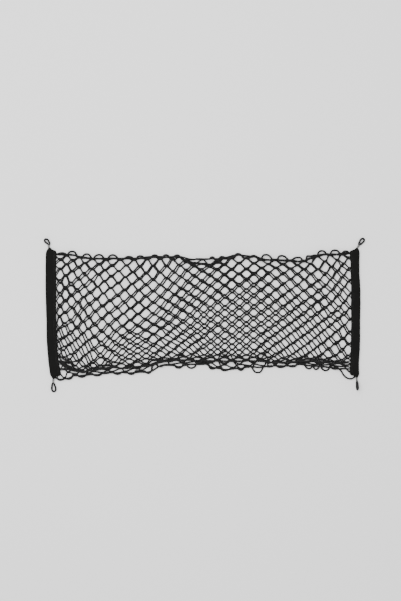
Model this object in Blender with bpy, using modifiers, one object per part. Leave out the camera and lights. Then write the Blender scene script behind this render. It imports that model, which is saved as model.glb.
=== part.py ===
"""A two-layer cargo net between two folded fabric bands, laid out flat.

Metres, +Z up. +X runs along the net from the left band to the right one, and +Y runs up the bands.
The origin is at the centre of the whole object's footprint, on the surface that it lies on.

The pieces: a front and a back panel of diamond mesh, a folded band at each end that holds both panels,
an elastic edge cord along the top and the bottom of each panel, and at each corner a metal ferrule that
comes out of the band's gathered tip and holds a loop of cord.
"""

import math
from collections import namedtuple

import bmesh
import bpy
from mathutils import Matrix, Vector

# Driving dimensions.
CORD_DIAMETER = 0.0034
LOOP_CORD_DIAMETER = 0.0036
CLEARANCE = 0.0003

MESHES_ALONG = 13
MESHES_UP = 6

BAND_THICKNESS = 0.0081
BAND_FABRIC = 0.0012
SELVAGE_DEPTH = 0.0135
SELVAGE_CORD = 0.0024

TOP_REACH = 0.006
FRONT_BOTTOM_REACH = 0.004
BACK_BOTTOM_REACH = 0.006

TONGUE_WIDTH = 0.0060
TONGUE_LENGTH = 0.0060
BARREL_WIDTH = 0.0066
BARREL_THICKNESS = 0.0050
BARREL_LENGTH = 0.0095

# Heights of the centre lines, from the surface up.
BACK_LEVEL = CORD_DIAMETER / 2
FRONT_LEVEL = BACK_LEVEL + CORD_DIAMETER + CLEARANCE
TOP_LEVEL = FRONT_LEVEL + CORD_DIAMETER + CLEARANCE
BAND_MIDDLE = BAND_THICKNESS / 2
BACK_SELVAGE_LEVEL = BAND_FABRIC + CLEARANCE + SELVAGE_CORD / 2
CORD_END_LEVEL = BAND_THICKNESS - BAND_FABRIC - CLEARANCE - CORD_DIAMETER / 2

# The four edge lines of the two panels, where the edge cords run. The first and last rows are the
# corners that lie in the bands.
Edge = namedtuple("Edge", "x front_top back_top front_bottom back_bottom")
EDGES = [
    Edge(-0.481, 0.178, 0.172, -0.134, -0.179),
    Edge(-0.436, 0.193, 0.187, -0.161, -0.203),
    Edge(-0.392, 0.187, 0.181, -0.178, -0.193),
    Edge(-0.334, 0.180, 0.174, -0.170, -0.190),
    Edge(-0.271, 0.180, 0.174, -0.167, -0.183),
    Edge(-0.207, 0.181, 0.175, -0.162, -0.182),
    Edge(-0.157, 0.186, 0.177, -0.149, -0.173),
    Edge(-0.106, 0.186, 0.177, -0.141, -0.157),
    Edge(-0.042, 0.177, 0.169, -0.140, -0.158),
    Edge(0.008, 0.175, 0.161, -0.142, -0.157),
    Edge(0.059, 0.185, 0.171, -0.145, -0.172),
    Edge(0.116, 0.194, 0.185, -0.144, -0.171),
    Edge(0.173, 0.185, 0.179, -0.145, -0.165),
    Edge(0.231, 0.177, 0.171, -0.148, -0.161),
    Edge(0.282, 0.174, 0.168, -0.146, -0.162),
    Edge(0.332, 0.177, 0.169, -0.147, -0.159),
    Edge(0.377, 0.195, 0.188, -0.149, -0.162),
    Edge(0.421, 0.194, 0.188, -0.149, -0.167),
    Edge(0.481, 0.180, 0.174, -0.150, -0.172),
]

# Where each edge cord runs beyond the table, from the open net into the band.
CordEnds = namedtuple("CordEnds", "left right")
CORD_ENDS = {
    "front_top": CordEnds(
        [(-0.476, 0.1975), (-0.460, 0.197)],
        [(0.449, 0.198), (0.465, 0.2005), (0.474, 0.2005)],
    ),
    "back_top": CordEnds(
        [(-0.476, 0.191), (-0.460, 0.1905)],
        [(0.449, 0.191), (0.465, 0.194), (0.474, 0.194)],
    ),
    "front_bottom": CordEnds(
        [(-0.469, -0.143), (-0.461, -0.147), (-0.450, -0.153)],
        [(0.442, -0.154), (0.455, -0.165), (0.465, -0.176), (0.473, -0.181)],
    ),
    "back_bottom": CordEnds(
        [(-0.470, -0.1955), (-0.462, -0.199), (-0.451, -0.204)],
        [
            (0.429, -0.170),
            (0.438, -0.181),
            (0.447, -0.193),
            (0.456, -0.200),
            (0.466, -0.2025),
            (0.475, -0.199),
            (0.480, -0.191),
        ],
    ),
}
# The cords come down from their level to the slot of the band between these distances from the middle.
CORD_DROP_FROM = 0.425
CORD_DROP_TO = 0.461

# The outline of each band, from its top tip to its bottom tip. puff is how far the fabric stands up.
Section = namedtuple("Section", "y outer inner puff")
LEFT_BAND = [
    Section(0.2130, -0.4970, -0.4855, 0.0000),
    Section(0.2090, -0.4980, -0.4825, 0.0000),
    Section(0.2055, -0.4985, -0.4770, 0.0000),
    Section(0.2040, -0.4985, -0.4685, 0.0000),
    Section(0.1800, -0.4995, -0.4685, 0.0004),
    Section(0.1300, -0.4998, -0.4692, 0.0000),
    Section(0.0800, -0.4998, -0.4684, 0.0005),
    Section(0.0300, -0.4986, -0.4690, 0.0002),
    Section(-0.0200, -0.4970, -0.4680, 0.0006),
    Section(-0.0700, -0.4965, -0.4670, 0.0001),
    Section(-0.1100, -0.4940, -0.4650, 0.0004),
    Section(-0.1450, -0.4910, -0.4612, 0.0000),
    Section(-0.1700, -0.4880, -0.4565, 0.0003),
    Section(-0.1900, -0.4858, -0.4540, 0.0000),
    Section(-0.1945, -0.4850, -0.4630, 0.0000),
    Section(-0.1980, -0.4840, -0.4690, 0.0000),
    Section(-0.2040, -0.4828, -0.4705, 0.0000),
]
RIGHT_BAND = [
    Section(0.2125, 0.4950, 0.4835, 0.0000),
    Section(0.2085, 0.4955, 0.4800, 0.0000),
    Section(0.2060, 0.4958, 0.4740, 0.0000),
    Section(0.2045, 0.4955, 0.4655, 0.0000),
    Section(0.1750, 0.4942, 0.4685, 0.0004),
    Section(0.1300, 0.4944, 0.4692, 0.0000),
    Section(0.0850, 0.4970, 0.4708, 0.0005),
    Section(0.0300, 0.4974, 0.4704, 0.0001),
    Section(-0.0200, 0.4965, 0.4710, 0.0006),
    Section(-0.0800, 0.4962, 0.4700, 0.0000),
    Section(-0.1250, 0.4945, 0.4690, 0.0004),
    Section(-0.1550, 0.4925, 0.4675, 0.0001),
    Section(-0.1780, 0.4920, 0.4650, 0.0002),
    Section(-0.1860, 0.4925, 0.4660, 0.0000),
    Section(-0.1905, 0.4930, 0.4760, 0.0000),
    Section(-0.1940, 0.4930, 0.4805, 0.0000),
    Section(-0.1985, 0.4926, 0.4815, 0.0000),
]

# The four corners. mouth is where the ferrule leaves the band's tip, and heading is the angle that it
# leaves at, from +Y round towards -X. The loop then turns by bend towards the same side and rises by
# rise. tilt turns loop and barrel about their own length, and skew pushes the loop's belly sideways.
Corner = namedtuple("Corner", "name mouth heading bend rise tilt length width skew")
CORNERS = [
    Corner("top_left", (-0.4904, 0.2130), 0, 34, 10, 0, 0.023, 0.0140, -0.0012),
    Corner("top_right", (0.4883, 0.2125), -30, -9, -4, 0, 0.029, 0.0145, 0.0),
    Corner("bottom_left", (-0.4762, -0.2040), 180, 7, -4, 0, 0.031, 0.0170, 0.0),
    Corner("bottom_right", (0.4865, -0.1985), 183, 0, 25, 49, 0.0322, 0.0162, 0.0),
]

# What resolves the shapes.
BARS_BEND = 0.0016
BARS_BEND_TURNS = (2.1, 1.3)
LAYER_SHIFT = Vector((0.012, -0.009))
FOLD_STEPS = 5
CORD_STEPS_PER_POINT = 2
TUBE_RESOLUTION = 2
LOOP_POINTS = 21
LOOP_START = 0.0012
LOOP_BEND_STEPS = 16
# How many times over its own length a loop would have opened, and turned to its full bend.
LOOP_OPENS = 2.5
FERRULE_SIDES = 12
FERRULE_SQUARENESS = 4

NET_BLACK = (0.012, 0.012, 0.013, 1)
CORD_BLACK = (0.010, 0.010, 0.011, 1)
BAND_BLACK = (0.018, 0.018, 0.019, 1)
METAL_GREY = (0.62, 0.62, 0.61, 1)


def clear_scene():
    for obj in list(bpy.data.objects):
        bpy.data.objects.remove(obj, do_unlink=True)


def blend(a, b, share):
    return a + (b - a) * share


def ease(share):
    """A soft step from 0 to 1."""
    share = min(max(share, 0.0), 1.0)
    return share * share * (3 - 2 * share)


def read_table(rows, key, column, at):
    """The value of a column at a place between two rows, for rows in rising or falling order of key."""
    rows = sorted(rows, key=lambda row: getattr(row, key))
    for low, high in zip(rows, rows[1:]):
        if at <= getattr(high, key):
            break
    span = getattr(high, key) - getattr(low, key)
    share = min(max((at - getattr(low, key)) / span, 0.0), 1.0)
    return blend(getattr(low, column), getattr(high, column), share)


def make_material(name, colour, roughness, metallic=0.0):
    material = bpy.data.materials.new(name)
    material.use_nodes = True
    shader = material.node_tree.nodes["Principled BSDF"]
    shader.inputs["Base Color"].default_value = colour
    shader.inputs["Roughness"].default_value = roughness
    shader.inputs["Metallic"].default_value = metallic
    material.diffuse_color = colour
    return material


def add_object(name, data, material, collection, root):
    obj = bpy.data.objects.new(name, data)
    data.materials.append(material)
    collection.objects.link(obj)
    obj.parent = root
    return obj


# The diamond mesh panels.


def lattice_point(i, j, layer):
    """Where the lattice point in column i and row j of a layer lies. Nodes are where i + j is even."""
    columns, rows = 2 * MESHES_ALONG, 2 * MESHES_UP
    x = blend(EDGES[0].x, EDGES[-1].x, i / columns)
    reach = FRONT_BOTTOM_REACH if layer == "front" else BACK_BOTTOM_REACH
    top = read_table(EDGES, "x", layer + "_top", x) + TOP_REACH
    bottom = read_table(EDGES, "x", layer + "_bottom", x) - reach
    y = blend(bottom, top, j / rows)
    left = read_table(LEFT_BAND, "y", "inner", y) - SELVAGE_DEPTH
    right = read_table(RIGHT_BAND, "y", "inner", y) + SELVAGE_DEPTH
    x = blend(left, right, i / columns)
    if layer == "back":
        middle = math.sin(math.pi * i / columns) * math.sin(math.pi * j / rows)
        x += LAYER_SHIFT.x * middle
        y += LAYER_SHIFT.y * middle
    return Vector((x, y))


def panel_cells():
    """The corners of each mesh, as lattice places. At the sides a half mesh closes on the selvage."""
    columns, rows = 2 * MESHES_ALONG, 2 * MESHES_UP
    for i in range(columns + 1):
        for j in range(1, rows):
            if (i + j) % 2 == 1:
                around = [(i, j - 1), (i + 1, j), (i, j + 1), (i - 1, j)]
                yield [(a, b) for a, b in around if 0 <= a <= columns]


def bar_middle(first, second, layer):
    """The point half along a bar, pushed sideways a little because the cord isn't taut."""
    a, b = lattice_point(*first, layer), lattice_point(*second, layer)
    along = b - a
    side = Vector((-along.y, along.x)).normalized()
    per_column, per_row = BARS_BEND_TURNS
    turn = math.sin(per_column * (first[0] + second[0]) + per_row * (first[1] + second[1]))
    return (a + b) / 2 + side * BARS_BEND * turn


def make_panel(name, layer, level, selvage_level, material, collection, root):
    """A panel of meshes: a surface of diamond cells, of which Wireframe keeps the bars."""
    columns = 2 * MESHES_ALONG
    mesh = bpy.data.meshes.new(name)
    shape = bmesh.new()
    thickness = shape.verts.layers.deform.verify()
    corners, middles = {}, {}

    def add_point(place, in_band):
        height = selvage_level if in_band else level
        vert = shape.verts.new((place.x, place.y, height))
        vert[thickness][0] = SELVAGE_CORD / CORD_DIAMETER if in_band else 1.0
        return vert

    def corner(at):
        if at not in corners:
            corners[at] = add_point(lattice_point(*at, layer), at[0] in (0, columns))
        return corners[at]

    def middle(first, second):
        ends = tuple(sorted((first, second)))
        if ends not in middles:
            near_band = bool({0, columns} & {first[0], second[0]})
            middles[ends] = add_point(bar_middle(*ends, layer), near_band)
        return middles[ends]

    for cell in panel_cells():
        outline = []
        for first, second in zip(cell, cell[1:] + cell[:1]):
            outline += [corner(first), middle(first, second)]
        shape.faces.new(outline)
    bmesh.ops.recalc_face_normals(shape, faces=shape.faces)
    if next(iter(shape.faces)).normal.z < 0:
        bmesh.ops.reverse_faces(shape, faces=shape.faces)
    shape.to_mesh(mesh)
    shape.free()

    obj = add_object(name, mesh, material, collection, root)
    obj.vertex_groups.new(name="cord_thickness")
    wires = obj.modifiers.new("cords", "WIREFRAME")
    wires.thickness = CORD_DIAMETER
    wires.use_replace = True
    wires.use_boundary = True
    wires.use_even_offset = True
    wires.vertex_group = "cord_thickness"
    return obj


# The folded bands.


def band_profile(section):
    """One cross-section of the folded fabric: the underside, the fold and the upper side."""
    inward = math.copysign(1, section.inner - section.outer)
    radius = (BAND_THICKNESS - BAND_FABRIC) / 2
    fold_x = section.outer + inward * BAND_THICKNESS / 2
    half = blend(section.inner, fold_x, 0.5)
    low = BAND_MIDDLE - radius
    high = BAND_MIDDLE + radius
    points = [(section.inner, low), (half, low), (fold_x, low)]
    for step in range(1, FOLD_STEPS):
        angle = math.pi * step / FOLD_STEPS
        out = radius * math.sin(angle)
        points.append((fold_x - inward * out, BAND_MIDDLE - radius * math.cos(angle)))
    points += [(fold_x, high), (half, high + section.puff), (section.inner, high + section.puff / 2)]
    return [(x, section.y, z) for x, z in points]


def make_band(name, sections, material, collection, root):
    mesh = bpy.data.meshes.new(name)
    shape = bmesh.new()
    rows = [[shape.verts.new(point) for point in band_profile(section)] for section in sections]
    for upper, lower in zip(rows, rows[1:]):
        for k in range(len(upper) - 1):
            shape.faces.new((upper[k], upper[k + 1], lower[k + 1], lower[k]))
    bmesh.ops.recalc_face_normals(shape, faces=shape.faces)
    shape.to_mesh(mesh)
    shape.free()
    obj = add_object(name, mesh, material, collection, root)
    fabric = obj.modifiers.new("fabric", "SOLIDIFY")
    fabric.thickness = BAND_FABRIC
    fabric.offset = 0
    fabric.use_even_offset = True
    return obj


# The edge cords and the corner loops, both swept along a line of points.


def smooth_route(points, steps):
    """Points on a smooth curve through the route's own points."""
    padded = [2 * points[0] - points[1]] + points + [2 * points[-1] - points[-2]]
    route = []
    for before, start, end, after in zip(padded, padded[1:], padded[2:], padded[3:]):
        for step in range(steps):
            t = step / steps
            route.append(
                0.5
                * (
                    2 * start
                    + (end - before) * t
                    + (2 * before - 5 * start + 4 * end - after) * t * t
                    + (3 * start - before - 3 * end + after) * t**3
                )
            )
    return route + [points[-1]]


def make_tube(name, points, diameter, material, collection, root):
    curve = bpy.data.curves.new(name, "CURVE")
    curve.dimensions = "3D"
    curve.bevel_depth = diameter / 2
    curve.bevel_resolution = TUBE_RESOLUTION
    curve.use_fill_caps = True
    spline = curve.splines.new("POLY")
    spline.points.add(len(points) - 1)
    for target, point in zip(spline.points, points):
        target.co = (*point, 1)
    return add_object(name, curve, material, collection, root)


def make_edge_cord(name, column, level, material, collection, root):
    """An elastic cord along one edge of a panel, with both ends in the slots of the bands."""
    ends = CORD_ENDS[column]
    places = ends.left + [(row.x, getattr(row, column)) for row in EDGES[1:-1]] + ends.right
    points = []
    for x, y in places:
        drop = ease((abs(x) - CORD_DROP_FROM) / (CORD_DROP_TO - CORD_DROP_FROM))
        points.append(Vector((x, y, blend(level, CORD_END_LEVEL, drop))))
    route = smooth_route(points, CORD_STEPS_PER_POINT)
    return make_tube(name, route, CORD_DIAMETER, material, collection, root)


def loop_frame(corner, along):
    """The loop's middle line at a distance from its base: the point there, and the sideways direction."""
    point = Vector((0, 0, 0))
    for step in range(LOOP_BEND_STEPS):
        share = ease(LOOP_OPENS * (step + 0.5) / LOOP_BEND_STEPS * along / corner.length)
        turn = math.radians(corner.bend) * share
        rise = math.radians(corner.rise) * share
        direction = Vector((-math.sin(turn), math.cos(turn), math.sin(rise)))
        point += direction.normalized() * along / LOOP_BEND_STEPS
    side = Vector((math.cos(turn), math.sin(turn), 0))
    return point, Matrix.Rotation(math.radians(corner.tilt), 3, direction) @ side


def loop_outline(corner):
    """(distance along, distance sideways) round a drop shape: two strands together, then the belly."""
    apart = LOOP_CORD_DIAMETER / 2 + CLEARANCE / 2
    reach = corner.length - LOOP_CORD_DIAMETER / 2 - LOOP_START
    belly = (corner.width - LOOP_CORD_DIAMETER) / 2
    widest = 4 / 3**1.5  # The most that sin(a) * sin(a / 2) comes to.
    outline = [(0, apart)]
    for k in range(LOOP_POINTS):
        angle = 2 * math.pi * k / (LOOP_POINTS - 1)
        along = reach * (1 - math.cos(angle)) / 2
        aside = belly * math.sin(angle) * abs(math.sin(angle / 2)) / widest
        together = apart * (1 - ease(LOOP_OPENS * along / reach))
        side = 1 if k < LOOP_POINTS / 2 else -1
        if k == LOOP_POINTS // 2:
            side = 0
        aside += side * together + corner.skew * math.sin(angle / 2) ** 2
        outline.append((LOOP_START + along, aside))
    return outline + [(0, -apart)]


def make_corner(corner, metal, cord, collection, root):
    """A ferrule in the band's tip and the loop of cord that it holds."""
    place = Matrix.Translation((*corner.mouth, BAND_MIDDLE)) @ Matrix.Rotation(
        math.radians(corner.heading), 4, "Z"
    )
    ferrule = make_ferrule("ferrule_" + corner.name, corner.tilt, metal, collection, root)
    ferrule.matrix_basis = place
    points = []
    for along, aside in loop_outline(corner):
        middle, sideways = loop_frame(corner, along)
        points.append(middle + sideways * aside)
    loop = make_tube(
        "loop_" + corner.name, points, LOOP_CORD_DIAMETER, cord, collection, root
    )
    loop.matrix_basis = place @ Matrix.Translation((0, BARREL_LENGTH + CLEARANCE, 0))


Cut = namedtuple("Cut", "along width thickness twist")


def ferrule_cuts():
    """The ferrule's cross-sections, from the tongue in the band to the barrel's open end."""
    tongue_thickness = BAND_THICKNESS - 2 * BAND_FABRIC - 2 * CLEARANCE
    return [
        Cut(-TONGUE_LENGTH, TONGUE_WIDTH * 0.8, tongue_thickness * 0.8, 0),
        Cut(-TONGUE_LENGTH * 0.85, TONGUE_WIDTH, tongue_thickness, 0),
        Cut(0.0005, TONGUE_WIDTH, tongue_thickness, 0),
        Cut(BARREL_LENGTH * 0.30, BARREL_WIDTH, BARREL_THICKNESS, 0.7),
        Cut(BARREL_LENGTH * 0.55, BARREL_WIDTH * 0.90, BARREL_THICKNESS * 0.86, 1),
        Cut(BARREL_LENGTH * 0.92, BARREL_WIDTH, BARREL_THICKNESS, 1),
        Cut(BARREL_LENGTH, BARREL_WIDTH * 0.90, BARREL_THICKNESS * 0.88, 1),
    ]


def make_ferrule(name, tilt, material, collection, root):
    """A pressed metal ferrule, as a loft of rounded rectangles that twists from tongue to barrel."""
    mesh = bpy.data.meshes.new(name)
    shape = bmesh.new()
    rings = []
    power = 2 / FERRULE_SQUARENESS
    for cut in ferrule_cuts():
        turn = Matrix.Rotation(math.radians(tilt) * cut.twist, 3, "Y")
        ring = []
        for k in range(FERRULE_SIDES):
            angle = 2 * math.pi * (k + 0.5) / FERRULE_SIDES
            cos, sin = math.cos(angle), math.sin(angle)
            x = math.copysign(abs(cos) ** power, cos) * cut.width / 2
            z = math.copysign(abs(sin) ** power, sin) * cut.thickness / 2
            point = turn @ Vector((x, 0, z))
            ring.append(shape.verts.new((point.x, cut.along, point.z)))
        rings.append(ring)
    for near, far in zip(rings, rings[1:]):
        for k in range(FERRULE_SIDES):
            after = (k + 1) % FERRULE_SIDES
            shape.faces.new((near[k], near[after], far[after], far[k]))
    shape.faces.new(rings[0])
    shape.faces.new(rings[-1])
    bmesh.ops.recalc_face_normals(shape, faces=shape.faces)
    shape.to_mesh(mesh)
    shape.free()
    mesh.shade_smooth()
    return add_object(name, mesh, material, collection, root)


def move_origin_to_footprint(root, collection):
    """Shifts the root so that the whole object's footprint is centred on the origin."""
    bpy.context.view_layer.update()
    graph = bpy.context.evaluated_depsgraph_get()
    corners = []
    for obj in collection.objects:
        if obj.type != "EMPTY":
            evaluated = obj.evaluated_get(graph)
            mesh = evaluated.to_mesh()
            corners += [evaluated.matrix_world @ vert.co for vert in mesh.vertices]
            evaluated.to_mesh_clear()
    for axis in (0, 1):
        low = min(corner[axis] for corner in corners)
        high = max(corner[axis] for corner in corners)
        root.location[axis] -= (low + high) / 2
    root.location.z -= min(corner.z for corner in corners)


def build():
    clear_scene()
    collection = bpy.data.collections.new("cargo_net")
    bpy.context.scene.collection.children.link(collection)
    root = bpy.data.objects.new("cargo_net_root", None)
    collection.objects.link(root)

    net = make_material("net_cord", NET_BLACK, 0.75)
    cord = make_material("elastic_cord", CORD_BLACK, 0.6)
    fabric = make_material("band_fabric", BAND_BLACK, 0.85)
    metal = make_material("ferrule_metal", METAL_GREY, 0.35, 1.0)

    make_panel("net_front", "front", FRONT_LEVEL, FRONT_LEVEL, net, collection, root)
    make_panel("net_back", "back", BACK_LEVEL, BACK_SELVAGE_LEVEL, net, collection, root)
    make_band("band_left", LEFT_BAND, fabric, collection, root)
    make_band("band_right", RIGHT_BAND, fabric, collection, root)
    make_edge_cord("edge_cord_front_top", "front_top", TOP_LEVEL, cord, collection, root)
    make_edge_cord("edge_cord_back_top", "back_top", TOP_LEVEL, cord, collection, root)
    make_edge_cord("edge_cord_front_bottom", "front_bottom", TOP_LEVEL, cord, collection, root)
    make_edge_cord("edge_cord_back_bottom", "back_bottom", FRONT_LEVEL, cord, collection, root)
    for corner in CORNERS:
        make_corner(corner, metal, cord, collection, root)
    move_origin_to_footprint(root, collection)


build()
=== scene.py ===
"""The looks of a two-layer cargo net between two folded fabric bands, laid flat and seen from above.

Metres, +Z up, in the CAD's frame: +X along the net, +Y up the bands. The photograph looks straight down,
so a place that is read from it is given as a pixel and turned into metres by at_pixel.
"""

import random
from collections import namedtuple
from math import copysign, cos, exp, pi, radians, sin, sqrt

import bmesh
import bpy
import numpy as np
from mathutils import Matrix, Vector
from mathutils.kdtree import KDTree


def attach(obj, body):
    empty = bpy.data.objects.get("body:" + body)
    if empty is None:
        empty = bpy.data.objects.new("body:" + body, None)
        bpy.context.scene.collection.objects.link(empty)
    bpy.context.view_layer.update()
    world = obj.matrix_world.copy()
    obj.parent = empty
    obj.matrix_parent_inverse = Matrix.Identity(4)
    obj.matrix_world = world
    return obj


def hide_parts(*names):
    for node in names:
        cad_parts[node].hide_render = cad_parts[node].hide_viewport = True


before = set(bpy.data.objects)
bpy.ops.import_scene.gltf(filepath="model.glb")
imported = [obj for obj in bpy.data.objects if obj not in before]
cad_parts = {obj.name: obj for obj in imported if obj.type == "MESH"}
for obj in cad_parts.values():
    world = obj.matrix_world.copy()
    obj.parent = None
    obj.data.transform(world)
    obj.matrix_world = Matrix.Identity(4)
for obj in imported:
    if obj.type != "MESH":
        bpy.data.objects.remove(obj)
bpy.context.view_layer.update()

# The photograph: its size, its scale, the pixel that the CAD's origin falls on, and the camera.
IMAGE_SIZE = (401, 601)
PIXEL = 0.003175
ORIGIN_PIXEL = (204.686, 315.04)
LENS = 0.100
SENSOR = 0.036

# How far part.py moves the net to centre its footprint, after placing its bands and corners.
NET_SHIFT = Vector((-0.00424, -0.00035, 0))

# The cords' thickness. Thin dark cords look thinner in a picture, so where they show they are thicker than
# part.py's.
CORD = 0.0046
EDGE_CORD = {"top": 0.0046, "bottom": 0.0054}
LOOP_CORD = 0.0060
CORD_IN_FERRULE = 0.0034
CORD_IN_BAND = 0.0028
LOOP_CLEARANCE = 0.0003

BAND_THICKNESS = 0.0081
BAND_FABRIC = 0.0012
BAND_MIDDLE = BAND_THICKNESS / 2

SEED = 11
random_source = random.Random(SEED)


def at_pixel(x, y):
    return Vector(((x - ORIGIN_PIXEL[0]) * PIXEL, (ORIGIN_PIXEL[1] - y) * PIXEL, 0))


def pixel_x(place):
    return place.x / PIXEL + ORIGIN_PIXEL[0]


def blend(a, b, share):
    return a + (b - a) * share


def ease(share):
    """A soft step from 0 to 1."""
    share = min(max(share, 0.0), 1.0)
    return share * share * (3 - 2 * share)


def table(names, rows):
    """Rows whose values have names. The first value is the row's key."""
    Row = namedtuple("Row", names)
    return [Row(*row) for row in rows]


def read_table(rows, name, at):
    """A table's value at a key, on a smooth curve through the rows."""
    return smooth_between([row[0] for row in rows], [getattr(row, name) for row in rows], at)


def smooth_between(keys, values, at):
    """The value at a place between two keys, on a smooth curve through the values."""
    if keys[0] > keys[-1]:
        keys, values = keys[::-1], values[::-1]
    at = min(max(at, keys[0]), keys[-1])
    k = 0
    while k < len(keys) - 2 and at > keys[k + 1]:
        k += 1
    span = keys[k + 1] - keys[k]
    share = (at - keys[k]) / span

    def slope(n):
        if n in (0, len(keys) - 1):
            return (values[k + 1] - values[k]) / span
        return (values[n + 1] - values[n - 1]) / (keys[n + 1] - keys[n - 1])

    s2, s3 = share**2, share**3
    return (
        values[k] * (2 * s3 - 3 * s2 + 1)
        + values[k + 1] * (3 * s2 - 2 * s3)
        + slope(k) * span * (s3 - 2 * s2 + share)
        + slope(k + 1) * span * (s3 - s2)
    )


def smooth_route(points, steps):
    """Points on a smooth curve through the route's own points."""
    padded = [2 * points[0] - points[1]] + points + [2 * points[-1] - points[-2]]
    route = []
    for before, start, end, after in zip(padded, padded[1:], padded[2:], padded[3:]):
        for step in range(steps):
            t = step / steps
            line = 2 * start + (end - before) * t
            bend = (2 * before - 5 * start + 4 * end - after) * t * t
            route.append(0.5 * (line + bend + (3 * start - before - 3 * end + after) * t**3))
    return route + [points[-1]]


def add_object(name, data):
    obj = bpy.data.objects.new(name, data)
    bpy.context.scene.collection.objects.link(obj)
    return obj


def shape_object(name, shape, material):
    """A smooth object from a finished bmesh."""
    bmesh.ops.recalc_face_normals(shape, faces=shape.faces)
    mesh = bpy.data.meshes.new(name)
    shape.to_mesh(mesh)
    shape.free()
    mesh.materials.append(material)
    mesh.shade_smooth()
    return add_object(name, mesh)


# The edge cords from left to right, in pixels. The outer meshes follow them.
EDGE_CORDS = {
    "front_top": [
        (50, 253.0), (57, 253.8), (62, 253.9), (68, 254.3), (74, 255.0), (80, 256.6), (86, 257.5),
        (92, 258.2), (98, 258.4), (106, 258.3), (112, 258.1), (120, 258.3), (130, 258.0), (138, 258.2),
        (143, 257.4), (150, 256.6), (156, 256.7), (162, 256.6), (168, 256.9), (174, 256.5), (180, 256.6),
        (185, 257.7), (190, 259.0), (200, 259.4), (206, 259.2), (212, 258.8), (218, 258.7), (223, 258.2),
        (228, 256.9), (233, 255.4), (238, 254.8), (243, 255.3), (248, 255.9), (255, 256.5), (260, 257.9),
        (265, 259.3), (270, 259.7), (275, 259.3), (280, 259.9), (290, 260.1), (296, 260.9), (300, 261.4),
        (304, 260.6), (308, 259.1), (312, 257.3), (316, 255.9), (320, 254.7), (326, 253.9), (332, 254.0),
        (338, 254.0), (343, 253.2), (349, 252.7), (356, 251.6),
    ],
    "back_top": [
        (50, 254.0), (57, 254.6), (62, 254.5), (68, 254.9), (74, 255.5), (80, 257.0), (86, 257.9),
        (92, 258.7), (98, 258.9), (106, 258.8), (112, 258.6), (120, 258.8), (130, 258.6), (138, 258.8),
        (143, 258.2), (150, 257.1), (156, 257.1), (162, 257.0), (168, 257.4), (174, 257.1), (180, 257.4),
        (184, 259.6), (190, 261.6), (196, 263.2), (202, 263.9), (209, 264.4), (214, 262.9), (219, 260.6),
        (224, 258.7), (229, 257.0), (234, 255.6), (239, 255.2), (244, 255.7), (250, 256.3), (256, 256.9),
        (260, 258.2), (265, 259.7), (270, 260.2), (275, 259.7), (280, 260.3), (290, 260.5), (296, 261.4),
        (300, 261.8), (304, 261.1), (308, 259.7), (312, 258.0), (316, 256.5), (320, 255.3), (326, 254.4),
        (332, 254.5), (338, 254.5), (343, 253.8), (349, 253.5), (356, 252.9),
    ],
    "front_bottom": [
        (53, 358.6), (57, 361.0), (62, 363.4), (68, 366.4), (74, 370.3), (80, 372.0), (86, 371.2),
        (92, 370.3), (98, 369.7), (104, 368.4), (110, 367.4), (116, 367.5), (122, 368.1), (128, 368.2),
        (134, 366.9), (140, 366.3), (146, 366.2), (150, 364.9), (154, 363.0), (160, 362.0), (168, 361.2),
        (176, 360.3), (183, 359.9), (192, 360.2), (200, 360.7), (210, 360.8), (220, 361.0), (230, 361.2),
        (240, 361.0), (248, 360.8), (255, 361.0), (262, 361.3), (270, 362.2), (280, 362.4), (288, 362.0),
        (299, 361.5), (308, 361.1), (317, 361.5), (326, 362.4), (334, 363.5), (340, 363.6), (347, 364.6),
        (355, 366.0),
    ],
    "back_bottom": [
        (53, 376.6), (57, 378.4), (60, 379.4), (66, 378.6), (70, 377.6), (74, 375.8), (80, 375.7),
        (86, 375.1), (92, 374.6), (98, 374.7), (104, 373.1), (110, 372.6), (116, 372.9), (122, 372.5),
        (128, 373.0), (134, 372.7), (140, 372.1), (146, 372.2), (150, 371.7), (154, 369.8), (158, 367.0),
        (162, 365.2), (168, 364.6), (174, 365.6), (179, 366.8), (184, 365.6), (188, 364.5), (194, 364.3),
        (200, 364.4), (206, 364.2), (210, 366.2), (214, 367.8), (219, 368.5), (224, 369.4), (230, 369.3),
        (236, 368.6), (240, 368.7), (246, 367.3), (252, 366.9), (258, 367.3), (263, 367.1), (268, 366.1),
        (275, 365.8), (282, 366.0), (288, 365.9), (294, 365.6), (299, 364.4), (304, 364.8), (309, 365.6),
        (314, 366.0), (320, 366.4), (326, 367.0), (332, 367.6), (337, 367.5), (346, 368.6), (355, 370.0),
    ],
}

# On the right the bottom cords hang below the last meshes: their ends from here on.
HANGING_FROM = 340.5
HANGING_ENDS = {
    "front": [(344, 366.2), (347, 369.6), (350, 372.2), (354, 373.8)],
    "back": [(341, 370.9), (344, 375.6), (347, 377.9), (350.2, 378.8), (353, 378.1), (355.4, 375.9)],
}

# The bands from top to bottom: where the fold and the inner edge are. Their tips are more pointed than
# part.py's.
LEFT_BAND = table("y outer inner", [
    (0.2141, -0.4920, -0.4856), (0.2113, -0.4945, -0.4831), (0.2081, -0.4964, -0.4799),
    (0.2056, -0.4972, -0.4726), (0.2040, -0.4980, -0.4688), (0.1800, -0.4995, -0.4685),
    (0.1300, -0.4998, -0.4692), (0.0800, -0.4998, -0.4684), (0.0300, -0.4986, -0.4690),
    (-0.0200, -0.4970, -0.4680), (-0.0700, -0.4965, -0.4670), (-0.1100, -0.4940, -0.4650),
    (-0.1450, -0.4910, -0.4612), (-0.1700, -0.4880, -0.4565), (-0.1890, -0.4850, -0.4540),
    (-0.1922, -0.4840, -0.4556), (-0.1940, -0.4833, -0.4630), (-0.1962, -0.4824, -0.4700),
    (-0.2000, -0.4806, -0.4722), (-0.2034, -0.4788, -0.4740),
])
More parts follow.
